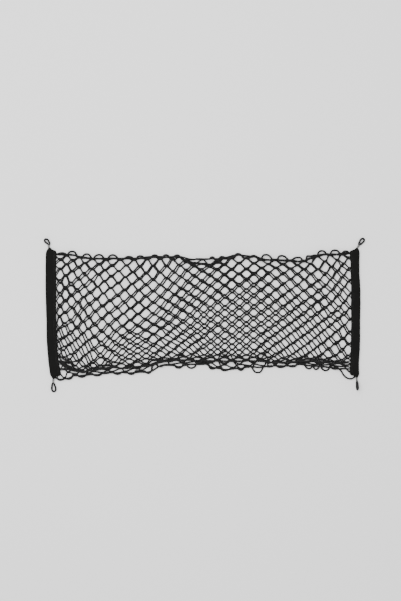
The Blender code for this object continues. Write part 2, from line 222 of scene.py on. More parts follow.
RIGHT_BAND = table("y outer inner", [
    (0.2144, 0.4907, 0.4853), (0.2119, 0.4923, 0.4834), (0.2087, 0.4936, 0.4793),
    (0.2068, 0.4942, 0.4736), (0.2049, 0.4948, 0.4672), (0.1750, 0.4942, 0.4685),
    (0.1300, 0.4944, 0.4692), (0.0850, 0.4970, 0.4708), (0.0300, 0.4974, 0.4704),
    (-0.0200, 0.4965, 0.4710), (-0.0800, 0.4962, 0.4700), (-0.1250, 0.4945, 0.4690),
    (-0.1550, 0.4925, 0.4675), (-0.1790, 0.4932, 0.4662), (-0.1880, 0.4942, 0.4668),
    (-0.1905, 0.4940, 0.4690), (-0.1921, 0.4936, 0.4770), (-0.1945, 0.4928, 0.4826),
    (-0.1980, 0.4911, 0.4850),
])

# The corners: where a ferrule leaves its band, where it points, how far its loop bends aside and rises and
# both are turned about their own line, in degrees, and the loop's size and lean.
CORNERS = table("name mouth heading bend rise tilt length width skew", [
    ("top_left", (-0.4904, 0.2130), 0, 37, 10, 0, 0.0250, 0.0166, -0.0016),
    ("top_right", (0.4890, 0.2137), -30, -9, -2, 0, 0.0282, 0.0170, 0.0),
    ("bottom_left", (-0.4766, -0.2050), 180, 7, -2, 0, 0.0308, 0.0186, 0.0),
    ("bottom_right", (0.4868, -0.1990), 183, 0, 20, 64, 0.0318, 0.0148, 0.0),
])

# The meshes: two columns and two rows each, with a crossing where column + row is even. The first and last
# columns are in the bands, and the first and last rows at the edge cords, with loops one row further.
COLUMNS = 44
ROWS = 20

# The rows whose heights are in NET, and all that a column goes through.
KNOWN_ROWS = (2, 4, 8, 12, 16)
NET_ROWS = (0, *KNOWN_ROWS, 18, ROWS)
ABOVE_BOTTOM_CORD = 1.4
CLOSEST_ROWS = 3.4

# The crossings in pixels, half-way between the layers: a column's x at the top, how far it has moved by the
# middle row and the last one, how far its first crossing is below the cords, and some rows' heights.
NET = table("column x lean_10 lean_20 drop row_2 row_4 row_8 row_12 row_16", [
    (0, 52.8, 3.0, 4.5, 1.0, 264.5, 276.0, 300.0, 324.0, 346.0),
    (1, 60.2, -0.6, -2.4, 1.0, 264.0, 274.8, 299.7, 322.3, 346.5),
    (2, 66.2, -0.8, -4.0, 1.0, 264.8, 275.8, 300.5, 324.2, 349.2),
    (3, 72.6, -1.4, -4.0, 0.8, 265.9, 277.3, 301.8, 326.2, 350.6),
    (4, 79.3, -2.3, -4.2, 0.8, 267.5, 278.3, 302.7, 327.1, 351.0),
    (5, 85.3, -2.4, -3.2, 0.8, 268.2, 279.6, 303.6, 328.0, 351.6),
    (6, 92.2, -3.4, -4.6, 0.9, 269.2, 280.3, 304.2, 329.0, 353.0),
    (7, 99.6, -4.3, -7.8, 1.0, 269.2, 280.9, 305.2, 330.4, 355.2),
    (8, 106.0, -3.9, -6.2, 1.1, 270.0, 281.5, 306.0, 331.0, 355.0),
    (12, 133.5, -3.4, -4.2, 1.4, 272.3, 284.0, 308.5, 331.3, 351.5),
    (14, 146.6, -0.9, -1.0, 2.0, 272.8, 284.6, 308.3, 330.2, 350.5),
    (16, 159.4, 1.6, 1.8, 2.2, 272.4, 285.0, 307.5, 328.6, 349.0),
    (20, 186.3, 3.5, 4.0, 2.0, 270.7, 281.5, 303.8, 326.5, 346.0),
    (22, 201.5, 2.2, 2.2, 0.1, 270.2, 280.9, 303.0, 325.7, 346.3),
    (24, 216.8, 0.9, 0.4, 1.4, 269.6, 280.2, 302.2, 324.8, 346.6),
    (28, 246.2, 0.4, 0.0, 2.4, 268.9, 279.6, 301.6, 324.0, 346.4),
    (32, 276.1, -0.5, -1.6, 0.5, 268.0, 278.4, 301.2, 323.6, 344.5),
    (34, 290.2, -0.6, -2.4, 0.4, 268.5, 279.2, 301.5, 324.0, 346.2),
    (36, 304.3, -0.8, -3.8, 0.3, 269.0, 279.9, 302.0, 324.5, 347.6),
    (38, 318.2, -0.6, -4.8, 0.6, 269.4, 279.9, 302.0, 325.0, 348.4),
    (39, 324.9, -0.8, -5.4, 1.0, 268.3, 279.4, 302.6, 325.7, 349.4),
    (40, 330.9, 0.0, -5.0, 0.8, 266.8, 278.5, 302.7, 325.7, 349.0),
    (41, 337.0, 0.9, -4.2, 0.8, 265.0, 277.7, 302.0, 325.3, 349.0),
    (42, 342.6, 1.5, -3.2, 0.8, 264.5, 276.0, 301.5, 325.5, 349.7),
    (43, 347.9, 2.2, -1.6, 1.0, 262.7, 274.7, 300.7, 326.2, 350.1),
    (44, 354.5, 0.0, -1.0, 1.0, 264.0, 275.0, 301.0, 326.0, 349.0),
])

# How far the back layer's crossings lie from the front layer's at three rows, in pixels right and down, and
# what share of the way right is left at the top and the bottom cords.
OFFSET_ROWS = (5, 10, 15)
LEFT_AT_TOP = 0.8
LEFT_AT_BOTTOM = 0.6
OFFSETS = table("column x_5 y_5 x_10 y_10 x_15 y_15", [
    (0, 0.3, 1.8, 0.4, 2.2, 0.0, 3.5), (2, 0.8, 1.9, 1.0, 2.0, -2.2, 3.2),
    (5, 0.9, 2.1, 1.2, 2.1, -3.0, 2.8), (7, 1.0, 1.5, 1.5, 2.0, -1.0, 2.8),
    (9, 1.0, 1.0, 1.3, 1.5, 1.6, 3.2), (11, 1.0, 0.9, 1.0, 1.0, 1.3, 4.6),
    (13, 1.5, 1.2, 1.1, 1.1, 0.5, 4.4), (15, 1.6, 1.3, 1.0, 1.4, -1.2, 2.8),
    (17, 1.5, 1.7, 1.0, 2.8, -3.2, 2.8), (20, 1.3, 2.5, 0.8, 3.5, -2.8, 3.2),
    (24, 1.1, 2.1, 0.3, 3.8, 0.4, 4.0), (28, 0.1, 3.0, 0.0, 3.9, 0.0, 4.0),
    (31, -0.9, 2.3, -0.4, 3.7, -1.8, 3.6), (33, -1.5, 1.7, -0.6, 3.5, -3.2, 3.2),
    (35, -1.5, 1.5, -1.2, 3.4, -3.5, 3.1), (37, -0.7, 1.5, -1.4, 3.6, -3.5, 3.1),
    (39, -1.6, 1.6, -1.7, 3.4, -2.8, 2.5), (41, -1.8, 1.8, -1.8, 3.0, -1.8, 1.8),
    (43, -1.4, 1.9, -1.6, 2.4, -0.9, 1.5), (44, -0.4, 1.6, -0.4, 2.0, -0.4, 1.5),
])

# The outermost loops in pixels: a loop's far end, and how far it reaches to its left and its right. These go
# over the front layer's top cord and the back layer's bottom cord. Those over the other two are hidden.
TOP_LOOPS = [
    (61.8, 252.2, 4.2, 4.2), (72.3, 250.7, 4.0, 5.6), (86.6, 253.3, 3.6, 5.8), (98.8, 254.0, 4.6, 7.0),
    (112.3, 254.2, 4.0, 6.8), (129.0, 255.9, 5.4, 5.4), (140.3, 255.2, 3.4, 5.2), (154.5, 254.3, 3.6, 3.8),
    (166.0, 254.2, 3.2, 3.6), (176.7, 254.4, 3.4, 5.4), (193.0, 258.9, 3.0, 3.0), (212.3, 256.3, 2.4, 2.4),
    (221.5, 256.0, 2.6, 2.8), (238.3, 253.0, 5.4, 5.2), (254.0, 254.8, 4.5, 4.5), (265.3, 254.0, 3.8, 8.2),
    (281.2, 255.0, 3.4, 8.6), (298.3, 256.8, 6.6, 6.0), (307.6, 255.2, 1.6, 6.4), (321.2, 250.1, 3.8, 4.8),
    (335.3, 249.5, 4.8, 5.2), (345.5, 250.4, 3.6, 3.6),
]
BOTTOM_LOOPS = [
    (60.5, 380.8, 3.5, 3.5), (69.0, 379.8, 3.5, 3.5), (82.0, 377.8, 4.5, 4.5), (97.5, 376.4, 4.5, 4.5),
    (106.0, 374.2, 3.5, 3.5), (117.3, 375.0, 4.0, 4.0), (131.2, 375.0, 4.0, 4.0), (148.8, 373.9, 3.5, 3.5),
    (160.0, 367.4, 3.0, 3.0), (179.0, 368.8, 4.0, 4.0), (191.5, 368.8, 4.8, 4.8), (211.5, 369.6, 3.0, 5.2),
    (224.0, 371.3, 3.5, 7.6), (241.0, 370.9, 3.0, 3.0), (258.0, 373.2, 7.0, 6.8), (270.5, 367.6, 3.5, 3.5),
    (281.0, 368.1, 4.8, 5.0), (293.0, 367.5, 4.8, 3.6), (309.2, 369.5, 4.4, 4.4), (316.2, 370.1, 2.6, 2.6),
    (325.6, 371.3, 4.8, 4.8), (334.2, 369.7, 3.2, 3.2),
]
SOFT_FROM = 5.0  # A side that reaches further falls in a soft wave.
SOFT_POWER = 1.7
HIDDEN_LOOP_HALF = 4.2
HIDDEN_FRONT_REACH = (1.0, 3.2)
HIDDEN_BACK_REACH = (0.4, 1.0)

# Meshes gathered beside the left band's lower end, in pixels. Each leaves the band and goes back.
GATHERED = [
    [
        (54.5, 351.0), (58.5, 353.2), (61.0, 356.6), (65.5, 360.2), (70.0, 361.4), (73.2, 363.6),
        (73.0, 366.4), (69.5, 366.9), (65.0, 365.8), (60.5, 364.2), (55.0, 363.0),
    ],
    [
        (54.5, 355.5), (59.5, 357.8), (62.5, 361.6), (68.0, 365.4), (73.6, 367.4), (76.4, 369.6),
        (74.6, 371.0), (69.0, 369.6), (62.5, 368.6), (55.0, 367.5),
    ],
    [
        (55.0, 359.5), (60.0, 361.0), (64.5, 364.4), (67.6, 367.2), (66.0, 369.6), (62.0, 369.8),
        (55.5, 371.0),
    ],
]

# Meshes pulled up over the front layer's bottom cord, in pixels, from the back layer's and back to it.
PULLED_UP = [
    [
        (222.4, 368.7), (220.0, 364.6), (218.4, 359.6), (220.3, 354.2), (224.5, 351.8), (228.8, 352.6),
        (231.6, 356.8), (233.4, 361.4), (236.4, 365.2), (240.2, 368.5),
    ],
    [
        (252.6, 366.8), (255.8, 361.8), (257.8, 356.6), (260.6, 352.9), (264.2, 353.2), (266.8, 357.2),
        (268.2, 361.6), (267.4, 366.0),
    ],
]
STEPS_A_PLACE = 5
SINKING_STEPS = 5

# How unevenly both layers' meshes lie, in pixels, how far the back layer drifts over the front one, and
# what share of a bar is level at each of its ends.
SLACK = table("column front back drift level", [
    (0, 0.30, 0.50, 1.0, 0.18),
    (4, 0.35, 0.55, 1.3, 0.18),
    (8, 0.30, 0.40, 0.8, 0.14),
    (12, 0.25, 0.30, 0.5, 0.11),
    (20, 0.25, 0.35, 0.6, 0.11),
    (28, 0.20, 0.25, 0.3, 0.11),
    (34, 0.25, 0.30, 0.5, 0.11),
    (39, 0.40, 0.50, 0.7, 0.12),
    (44, 0.40, 0.60, 0.8, 0.15),
])
UNEVEN = 0.8
UNEVEN_AT_EDGES = 0.3

# The drift right and up, in waves: the height, the turn for each column and each row, and the start.
DRIFT_RIGHT = ((0.6, 1.13, 0.31, 0.0), (0.5, 0.47, -0.83, 2.0))
DRIFT_UP = ((0.6, 0.71, 0.94, 4.0), (0.5, 1.31, -0.42, 0.0))


def edge_line(name, x):
    """The height of an edge cord at an x, both in pixels."""
    return smooth_between(*zip(*EDGE_CORDS[name]), x)


def lattice_point(column, row, layer):
    """Where a crossing of a layer lies, in metres, before it is made uneven."""
    share = min(max(row / ROWS, 0), 1)
    leans = [0.0, read_table(NET, "lean_10", column), read_table(NET, "lean_20", column)]
    x = read_table(NET, "x", column) + smooth_between([0.0, 0.5, 1.0], leans, share)
    top = (edge_line("front_top", x) + edge_line("back_top", x)) / 2
    bottom = (edge_line("front_bottom", x) + edge_line("back_bottom", x)) / 2
    last = bottom - ABOVE_BOTTOM_CORD
    heights = [top + read_table(NET, "drop", column)]
    heights += [read_table(NET, f"row_{known}", column) for known in KNOWN_ROWS]
    heights += [min(heights[-1] + (heights[-1] - heights[-2]) / 2, last - CLOSEST_ROWS), last]
    right, down = back_offset(column, row, x)
    side = 0.5 if layer == "back" else -0.5
    return at_pixel(x + side * right, smooth_between(NET_ROWS, heights, ROWS * share) + side * down)


def back_offset(column, row, x):
    """How far right and down the back layer lies from the front one, in pixels."""
    rows = [0, *OFFSET_ROWS, ROWS]
    top = edge_line("back_top", x) - edge_line("front_top", x)
    bottom = edge_line("back_bottom", x) - edge_line("front_bottom", x)
    right = [read_table(OFFSETS, f"x_{known}", column) for known in OFFSET_ROWS]
    down = [read_table(OFFSETS, f"y_{known}", column) for known in OFFSET_ROWS]
    right = [right[0] * LEFT_AT_TOP, *right, right[-1] * LEFT_AT_BOTTOM]
    down = [top, *down, bottom]
    row = min(max(row, 0), ROWS)
    apart = smooth_between(rows, down, row)
    if 0 < row < rows[1]:  # Where the top cords lie far apart, the meshes below them don't.
        apart = min(apart, down[1])
    return smooth_between(rows, right, row), apart


def tube_object(name, routes, material, sides=8):
    """One mesh of round tubes. A route is (points, diameters), and u goes round it and v along it."""
    corners, faces, loops_uv = [], [], []
    for points, diameters in routes:
        line = np.array([tuple(point) for point in points])
        radii = np.array(diameters)[:, None] / 2
        along = np.gradient(line, axis=0)
        along /= np.linalg.norm(along, axis=1)[:, None]
        side = np.cross(along, (0, 0, 1.0))
        side /= np.linalg.norm(side, axis=1)[:, None]
        up = np.cross(side, along)
        steps = np.linalg.norm(np.diff(line, axis=0), axis=1)
        travelled = np.concatenate([[0], np.cumsum(steps)]) / (pi * np.median(diameters))
        first = len(corners)
        angles = [2 * pi * k / sides for k in range(sides)]
        rings = np.stack([line + radii * (cos(a) * side + sin(a) * up) for a in angles], 1)
        corners.extend(rings.reshape(-1, 3))
        for k in range(len(line) - 1):
            for s in range(sides):
                after = (s + 1) % sides
                a, b = first + k * sides, first + (k + 1) * sides
                faces.append((a + s, a + after, b + after, b + s))
                u, v, w = s / sides, travelled[k], travelled[k + 1]
                loops_uv += [(u, v), (u + 1 / sides, v), (u + 1 / sides, w), (u, w)]
        last = first + (len(line) - 1) * sides
        faces.append(tuple(range(first + sides - 1, first - 1, -1)))
        faces.append(tuple(range(last, last + sides)))
        loops_uv += [(0.5, travelled[0])] * sides + [(0.5, travelled[-1])] * sides
    mesh = bpy.data.meshes.new(name)
    mesh.from_pydata([tuple(corner) for corner in corners], [], faces)
    layer = mesh.uv_layers.new(name="cord")
    layer.data.foreach_set("uv", np.array(loops_uv, np.float32).ravel())
    mesh.shade_smooth()
    mesh.materials.append(material)
    return add_object(name, mesh)


# The two layers of meshes.

# The heights of middle lines: of each layer's cords in the bands, and of the edge cords.
BAND_LEVEL = {"back": 0.00265, "front": 0.00545}
CORD_LEVEL = {"back": 0.0036, "front": 0.0072}

# A bar's shape between two crossings, in shares of its length, and how much it bows.
BAR_STEPS = (0.0, 0.13, 0.2, 0.28, 0.38, 0.62, 0.72, 0.80, 0.87)
BEND_SHARE = 0.22
BAR_BOW = 0.00045
JOINT_SHARE = 0.32  # How far a crossing's two cords stand off its middle, in cords.

# Half a loop over an edge cord: its steps, and how much of a bar it may take. Its slack cord is thicker, and
# by its foot it goes over the edge cord or under it.
LOOP_STEPS = (1.0, 0.985, 0.94, 0.86, 0.74, 0.58, 0.4, 0.2)
WIDEST_ARC = 0.94
BEFORE_FOOT = 0.6
SLACK_CORD = 1.25
LIFT = 0.85
LIFT_REACH = 0.16
LEAST_LIFT = 0.001
LOWEST_SHARE = 0.8

# How far outside a band the cords sink to their place in it, how much the bands' edges bulge, and how
# finely and how steeply the upper layer drapes.
MOUTH_LENGTH = 0.012
BULGE = {"outer": 0.0015, "inner": -0.0014}
BULGE_LENGTH = 0.02
DRAPE_STEP = 0.0012
DRAPE_SLOPE = 0.28


def bar_fall(share, level):
    """How far a bar has come down between its crossings: it leaves and meets them level."""
    if share > 0.5:
        return 1 - bar_fall(1 - share, level)
    share = max(0.0, share - level) / (1 - 2 * level)
    if share < BEND_SHARE:
        return share**2 / (2 * BEND_SHARE * (1 - BEND_SHARE))
    return (share - BEND_SHARE / 2) / (1 - BEND_SHARE)


def arc_rise(share, arc, is_soft):
    """The same for half a loop over an edge cord: from its foot, at 1 - arc, to its far end, at 1."""
    out = (1 - share) / arc
    if is_soft:
        return 1 - ease(out**SOFT_POWER)
    return sqrt(max(0.0, 1 - out**2))


def drift(column, row):
    """A slow wave over the net, at most about 1 each way."""
    right, up = (
        sum(height * sin(turn * column + rise * row + start) for height, turn, rise, start in waves)
        for waves in (DRIFT_RIGHT, DRIFT_UP)
    )
    return Vector((right, up, 0))


def layer_points(layer):
    """Every crossing of a layer, by column and row."""
    points = {}
    for row in range(ROWS + 1):
        for column in range(row % 2, COLUMNS + 1, 2):
            slack = read_table(SLACK, layer, column) * PIXEL
            nudge = Vector((random_source.gauss(0, UNEVEN), random_source.gauss(0, UNEVEN), 0)) * slack
            if layer == "back":
                nudge += drift(column, row) * read_table(SLACK, "drift", column) * PIXEL
            if row in (0, ROWS) or column in (0, COLUMNS):
                nudge *= UNEVEN_AT_EDGES
            points[column, row] = lattice_point(column, row, layer) + nudge
    return points


def add_loops(layer, points):
    """Adds the far ends of the loops over both edge cords. Returns how far each reaches to either side."""
    loops, outer_row, beyond = (TOP_LOOPS, 0, -1) if layer == "front" else (BOTTOM_LOOPS, ROWS, ROWS + 1)
    # The outer crossings lie half-way between the loops.
    for k, (near, far) in enumerate(zip(loops, loops[1:])):
        points[2 * k + 2, outer_row].x = at_pixel((near[0] + far[0]) / 2, 0).x
    halves = {}
    for k, (x, y, left, right) in enumerate(loops):
        column = 2 * k + 1
        hidden = lattice_point(column, ROWS - outer_row, layer)
        if layer == "front":
            hidden.y -= (ABOVE_BOTTOM_CORD + random_source.uniform(*HIDDEN_FRONT_REACH)) * PIXEL
        else:
            reach = random_source.uniform(*HIDDEN_BACK_REACH)
            hidden.y = at_pixel(0, edge_line("back_top", pixel_x(hidden)) - reach).y
        for row, point, half in (
            (beyond, at_pixel(x, y), (left, right)),
            (ROWS - beyond, hidden, (HIDDEN_LOOP_HALF, HIDDEN_LOOP_HALF)),
        ):
            points[column, row] = point + Vector((0, copysign(CORD / 2, row), 0))
            halves[column, row] = [side * PIXEL for side in half]
    return halves


def strand_route(strand, points, halves):
    """A cord that zigzags along the net between two rows of crossings."""
    route = []
    half = Vector((0, CORD * JOINT_SHARE, 0))
    before = None
    for column in range(COLUMNS + 1):
        is_upper = (column + strand) % 2 == 0
        row = strand if is_upper else strand + 1
        here = points.get((column, row))
        if here is None:  # The loops over the edge cords stop short of the bands.
            continue
        if (column, row) not in halves:
            here = here + (-half if is_upper else half)
        to_half, next_half = halves.get((column, row), (None, None))
        if before is not None:
            level = read_table(SLACK, "level", column - 0.5)
            route += bar_points(before, here, level, from_half, to_half)
        before, from_half = here, next_half
    route.append((before, 0.0))
    return route


def bar_points(start, end, level, from_half, to_half):
    """Points along one bar, without its last one, and how far each is over or under an edge cord.

    Where the bar starts or ends at the far end of a loop, that loop's half width is given.
    """
    made = []
    over = 1 if end.y > start.y else -1
    bow = random_source.gauss(0, BAR_BOW)
    along = end - start
    side = Vector((-along.y, along.x, 0)).normalized()
    half = from_half or to_half or 0
    is_soft = half > SOFT_FROM * PIXEL
    arc = min(half / abs(along.x), WIDEST_ARC)
    steps = BAR_STEPS
    if arc:
        steps = [0.0, (1 - arc) * BEFORE_FOOT] + [1 - arc * step for step in LOOP_STEPS]
    if from_half:
        steps = [0.0] + [1 - step for step in reversed(steps[1:])]
    for share in steps:
        if from_half:
            fall = 1 - arc_rise(1 - share, arc, is_soft)
        elif to_half:
            fall = arc_rise(share, arc, is_soft)
        else:
            fall = bar_fall(share, level)
        point = start + Vector((along.x * share, along.y * fall, 0))
        point += side * bow * sin(pi * share)
        lift = 0.0
        if arc:
            from_foot = 1 - share if from_half else share
            lift = over * exp(-(((from_foot - 1 + arc) / LIFT_REACH) ** 2)) + LEAST_LIFT
        made.append((point, lift))
    return made


def set_heights(routes, layer, below):
    """Gives each route its heights, on the floor or over the finished routes below, and diameters."""
    finished = []
    for strand, route in routes:
        flat = [point for point, _ in route]
        heights = np.full(len(flat), CORD / 2)
        if below is not None:
            heights = drape(flat, below)
        if strand in (-1, ROWS):
            for k, (_, lift) in enumerate(route):
                if lift:
                    rest = max(heights[k], CORD_LEVEL[layer] * LOWEST_SHARE)
                    heights[k] = max(rest + lift * CORD * LIFT, CORD / 2)
        diameters = []
        for k, (point, lift) in enumerate(route):
            hidden = in_band_share(point)
            heights[k] = blend(heights[k], BAND_LEVEL[layer], hidden)
            diameters.append(blend(CORD * SLACK_CORD if lift else CORD, CORD_IN_BAND, hidden))
            heights[k] = max(heights[k], diameters[k] / 2)
        finished.append(([Vector((p.x, p.y, z)) for p, z in zip(flat, heights)], diameters))
    return finished


def gathered_routes(below):
    """The gathered and the pulled-up meshes, over everything that lies there."""
    routes = []
    for places in GATHERED + PULLED_UP:
        route = smooth_route([at_pixel(x, y) for x, y in places], STEPS_A_PLACE)
        routes.append((None, [(point, 0.0) for point in route]))
    finished = set_heights(routes, "front", below)
    reach = (EDGE_CORD["bottom"] + CORD) / 2
    for points, _ in finished[len(GATHERED):]:
        for k, point in enumerate(points):
            apart = point.y - at_pixel(0, edge_line("front_bottom", pixel_x(point))).y
            over_cord = sqrt(max(0.0, reach**2 - apart**2))
            if over_cord:
                point.z = max(point.z, CORD_LEVEL["front"] + over_cord)
            from_end = min(k, len(points) - 1 - k)
            point.z = blend(CORD_LEVEL["back"], point.z, ease(from_end / SINKING_STEPS))
    return finished


def band_edge(sections, edge, y):
    """The x of a band's edge. Its fabric bulges a little past the CAD's plain band."""
    middle = (sections[0].y + sections[-1].y) / 2
    from_tip = sections[0].y - middle - abs(y - NET_SHIFT.y - middle)
    bulge = BULGE[edge] * copysign(1, sections[0].outer) * ease(from_tip / BULGE_LENGTH)
    return read_table(sections, edge, y - NET_SHIFT.y) + NET_SHIFT.x + bulge


def in_band_share(point):
    """0 in the open net, and 1 from the mouth of a band inwards."""
    left = point.x - band_edge(LEFT_BAND, "inner", point.y)
    right = band_edge(RIGHT_BAND, "inner", point.y) - point.x
    return 1 - ease(min(left, right) / MOUTH_LENGTH)


def fine_line(points):
    """Points close together along a line, and where each is among the line's own points."""
    fine, places = [], []
    for k, (a, b) in enumerate(zip(points, points[1:])):
        count = max(1, round((b - a).length / DRAPE_STEP))
        fine += [a.lerp(b, step / count) for step in range(count)]
        places += [k + step / count for step in range(count)]
    return fine, places


def cord_tree(routes):
    """A search tree of the middle lines of finished routes, in plan, and their points."""
    lines = [fine_line(points)[0] for points, _ in routes]
    tree = KDTree(sum(len(line) for line in lines))
    points = [point for line in lines for point in line]
    for k, point in enumerate(points):
        tree.insert((point.x, point.y, 0), k)
    tree.balance()
    return tree, points


def drape(flat, below):
    """The heights of a cord over others: on them where it crosses them, and sagging a little between."""
    tree, lower = below
    fine, places = fine_line(flat)
    fine.append(flat[-1])
    places.append(len(flat) - 1)
    needed = []
    for point in fine:
        height = CORD / 2
        for _, index, distance in tree.find_range((point.x, point.y, 0), CORD):
            height = max(height, lower[index].z + sqrt(max(0, CORD**2 - distance**2)))
        needed.append(height)
    fall = DRAPE_SLOPE * DRAPE_STEP
    for order in (range(1, len(needed)), range(len(needed) - 2, -1, -1)):
        for k in order:
            needed[k] = max(needed[k], needed[k - order.step] - fall)
    return np.interp(range(len(flat)), places, needed)


def make_layer(layer, below, material):
    """A layer's object, and its routes."""
    points = layer_points(layer)
    halves = add_loops(layer, points)
    routes = [(strand, strand_route(strand, points, halves)) for strand in range(-1, ROWS + 1)]
    finished = set_heights(routes, layer, below)
    if layer == "front":
        finished += gathered_routes(cord_tree(finished))
    return tube_object(f"net_{layer}_cords", finished, material), finished


# The edge cords.

# From where to where along the net the cords come down to the bands' middle.
CORD_DROP_FROM = 0.425
CORD_DROP_TO = 0.461
CORD_STEPS = 8
CORD_WAVE = 0.0004
CORD_WAVE_TURN = 0.9
CORD_WAVE_START = 6


def edge_cord_route(name):
    """An edge cord's middle line and its diameters."""
    places = EDGE_CORDS[name]
    layer, side = name.split("_")
    if side == "bottom":
        places = [place for place in places if place[0] < HANGING_FROM] + HANGING_ENDS[layer]
    points = []
    for x, y in places:
        point = at_pixel(x, y)
        drop = ease((abs(point.x) - CORD_DROP_FROM) / (CORD_DROP_TO - CORD_DROP_FROM))
        point.z = blend(CORD_LEVEL[layer], BAND_MIDDLE, drop)
        points.append(point)
    route = smooth_route(points, CORD_STEPS)
    wave = random_source.uniform(0, CORD_WAVE_START)
    for k, point in enumerate(route):
        point.z += CORD_WAVE * sin(CORD_WAVE_TURN * k + wave)
    return route, [EDGE_CORD[side]] * len(route)


# The bands.

BAND_ROWS = 110
CROWDED_AT_TIPS = 0.35
BAND_ACROSS = (0.0, 0.05, 0.11, 0.17, 0.24, 0.31, 0.4, 0.5, 0.6, 0.72, 0.86, 1.0)
FOLD_STEPS = 8
TIP_RADIUS = 0.0024
TIP_LENGTH = 0.016
BEVEL = 0.0004
BEVEL_FROM = 50  # Degrees.

# The seams: how far in from the inner edge, and how far up from which sections they start and end.
STITCH_LINES = (0.0045, 0.0085)
STITCH_ENDS = ((4, -0.002), (-4, 0.006))
STITCH_DIP = 0.00035
STITCH_DIP_WIDTH = 0.0011
STITCH_PITCH = 0.0042
STITCH_LENGTH = 0.0030
STITCH_STEPS = 4
THREAD = 0.0006

# A stitch, in shares of the thread.
STITCH_OUT = 0.30
STITCH_SINK = 0.55
STITCH_TAPER = 0.35
STITCH_IN = 0.5

# The fabric's waves in its mouth, its slack, its gathered tips and its fold: how high they are, how far they
# reach, and how long or how many they are.
MOUTH_WAVE = (0.00035, 0.004, 0.019)
SLACK_WAVE = 0.00055
SLACK_LENGTHS = (0.021, 0.0093)
SLACK_TURNS = (1.7, 5)
GATHER_WAVE = (0.0005, 0.010, 4.5)
FOLD_WAVE = (0.03, 0.006)
UNDERSIDE_SHARE = 0.35


def band_relief(side, across, distance_in, y, tip_distance):
    """How far the fabric stands off its plane: seams pull it in, cords in the mouth and gathers lift it."""
    mouth_lift, mouth_reach, mouth_length = MOUTH_WAVE
    gather_lift, gather_reach, gathers = GATHER_WAVE
    dip = sum(exp(-(((distance_in - line) / STITCH_DIP_WIDTH) ** 2)) for line in STITCH_LINES)
    mouth = 0.5 + 0.5 * sin(2 * pi * y / mouth_length + side)
    slack = sin(y / SLACK_LENGTHS[0] + SLACK_TURNS[0] * side)
    slack = 0.5 + 0.5 * slack * sin(y / SLACK_LENGTHS[1] + SLACK_TURNS[1] * across)
    gather = exp(-tip_distance / gather_reach) * sin(gathers * pi * across + side)
    return (
        -STITCH_DIP * dip
        + mouth_lift * (exp(-distance_in / mouth_reach) * mouth)
        + SLACK_WAVE * slack * across * (1 - across) * 4
        + gather_lift * gather
    )


def band_ring(sections, y, tip_distance):
    """The middle of the fabric at one height: the underside, the fold and the upper side."""
    outer, inner = band_edge(sections, "outer", y), band_edge(sections, "inner", y)
    inward = copysign(1, inner - outer)
    fold_x = outer + inward * BAND_THICKNESS / 2
    # The plies close on the ferrule at both tips.
    radius = blend(TIP_RADIUS, (BAND_THICKNESS - BAND_FABRIC) / 2, ease(tip_distance / TIP_LENGTH))
    plies = {}
    for side in (-1, 1):
        plies[side] = []
        for across in BAND_ACROSS:
            x = blend(inner, fold_x, across)
            lift = band_relief(side, across, abs(x - inner), y, tip_distance)
            if side < 0:
                lift = min(lift * UNDERSIDE_SHARE, 0.0)
            plies[side].append(Vector((x, y, BAND_MIDDLE + side * radius + side * lift)))
    fold = []
    wave, wave_length = FOLD_WAVE
    for step in range(1, FOLD_STEPS):
        angle = pi * step / FOLD_STEPS
        out = radius * sin(angle) * (1 + wave * sin(y / wave_length + angle))
        fold.append(Vector((fold_x - inward * out, y, BAND_MIDDLE - radius * cos(angle))))
    return plies[-1] + fold + plies[1][::-1]


def make_band(name, sections, material):
    """A woven tape folded lengthwise over the net's end, with seams, gathered to a tip at both ends."""
    top, bottom = (sections[k].y + NET_SHIFT.y for k in (0, -1))
    rings = []
    for k in range(BAND_ROWS + 1):
        share = k / BAND_ROWS
        y = blend(top, bottom, blend(share, ease(share), CROWDED_AT_TIPS))
        rings.append(band_ring(sections, y, min(top - y, y - bottom)))

    shape = bmesh.new()
    uv_layer = shape.loops.layers.uv.new("tape")
    middle_ring = rings[BAND_ROWS // 2]
    across = [0.0]
    for a, b in zip(middle_ring, middle_ring[1:]):
        across.append(across[-1] + (b - a).length)
    verts = [[shape.verts.new(point) for point in ring] for ring in rings]
    for j, (upper, lower) in enumerate(zip(verts, verts[1:])):
        for k in range(len(upper) - 1):
            face = shape.faces.new((upper[k], upper[k + 1], lower[k + 1], lower[k]))
            places = ((k, j), (k + 1, j), (k + 1, j + 1), (k, j + 1))
            for loop, (a, b) in zip(face.loops, places):
                loop[uv_layer].uv = (across[a], rings[b][0].y)

    obj = shape_object(name, shape, material)
    fabric = obj.modifiers.new("fabric", "SOLIDIFY")
    fabric.thickness = BAND_FABRIC
    fabric.offset = 0
    fabric.use_even_offset = True
    edge = obj.modifiers.new("edge", "BEVEL")
    edge.width = BEVEL
    edge.segments = 2
    edge.limit_method = "ANGLE"
    edge.angle_limit = radians(BEVEL_FROM)
    return obj


def stitch(sections, middle, line, face):
    """One stitch, round a height, on the underside for -1 or the upper side for 1."""
    inward = copysign(1, sections[0].inner - sections[0].outer)
    points, diameters = [], []
    for step in range(STITCH_STEPS + 1):
        y = middle + STITCH_LENGTH * (step / STITCH_STEPS - 0.5)
        x = band_edge(sections, "inner", y) - inward * line
        sink = abs(2 * step / STITCH_STEPS - 1)
        height = BAND_FABRIC / 2 - STITCH_DIP + THREAD * (STITCH_OUT - STITCH_SINK * sink**3)
        if face < 0:
            height = BAND_FABRIC / 2 - THREAD * STITCH_IN
        height += (BAND_THICKNESS - BAND_FABRIC) / 2
        points.append(Vector((x, y, BAND_MIDDLE + face * height)))
        diameters.append(THREAD * (1 - STITCH_TAPER * sink**2))
    return points, diameters


